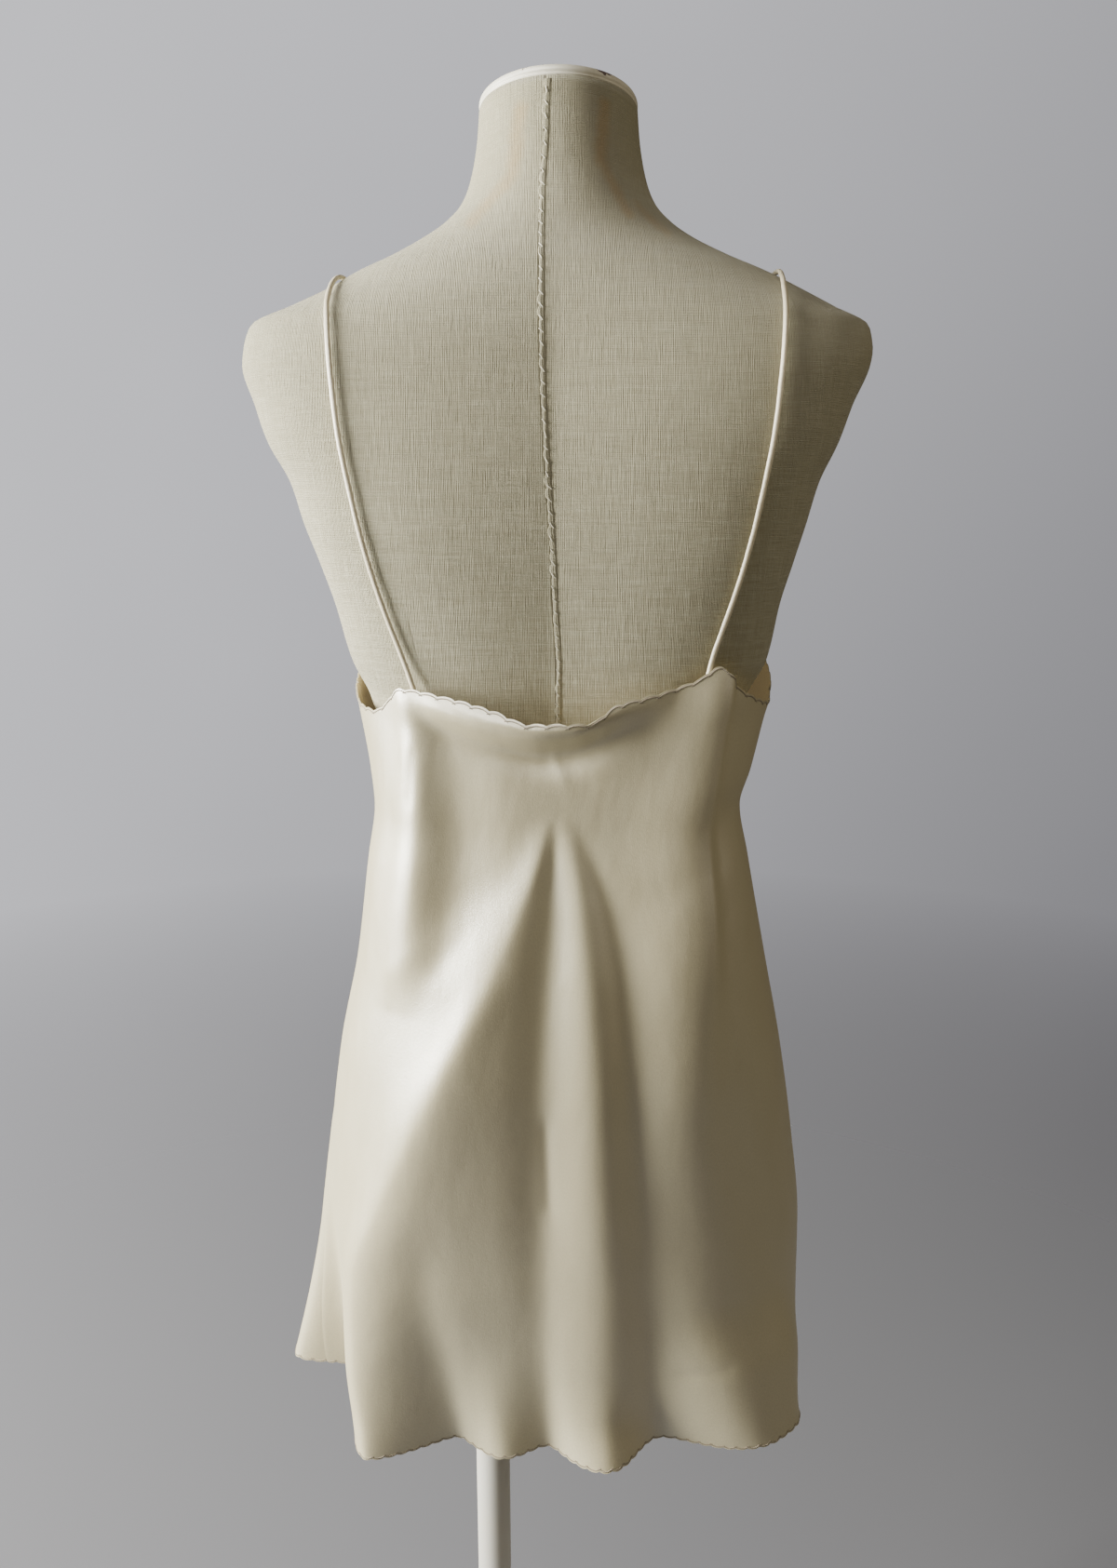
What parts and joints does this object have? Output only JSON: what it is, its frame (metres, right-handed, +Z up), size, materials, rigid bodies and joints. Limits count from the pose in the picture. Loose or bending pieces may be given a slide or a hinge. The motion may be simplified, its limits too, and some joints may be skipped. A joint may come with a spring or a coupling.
{
  "type": "slip dress on a limbless dress form",
  "caption": "Short satin slip dress with thin shoulder straps and scalloped edges, worn by a limbless dress form on a pole and round base.",
  "frame": {"origin": "centre of the base's flat underside, on the axis of the pole", "axes": "+Z up along the pole, the garment's front faces -Y and the wearer's left is at +X"},
  "size_m": [0.404, 0.34, 1.4032],
  "materials": {
    "satin_back": "ivory satin with a soft sheen",
    "satin_front": "ivory satin with a soft sheen",
    "satin_strap_left": "ivory satin tube",
    "satin_strap_right": "ivory satin tube",
    "form_cover": "natural unbleached linen",
    "cap_paint": "old cream paint",
    "pole_paint": "old cream paint",
    "base_paint": "old cream paint"
  },
  "bodies": {
    "root": {"dress_back": "satin_back", "dress_front": "satin_front", "strap_left": "satin_strap_left", "strap_right": "satin_strap_right", "form_torso": "form_cover", "neck_cap": "cap_paint", "stand_pole": "pole_paint", "stand_base": "base_paint"}
  },
  "joints": []
}
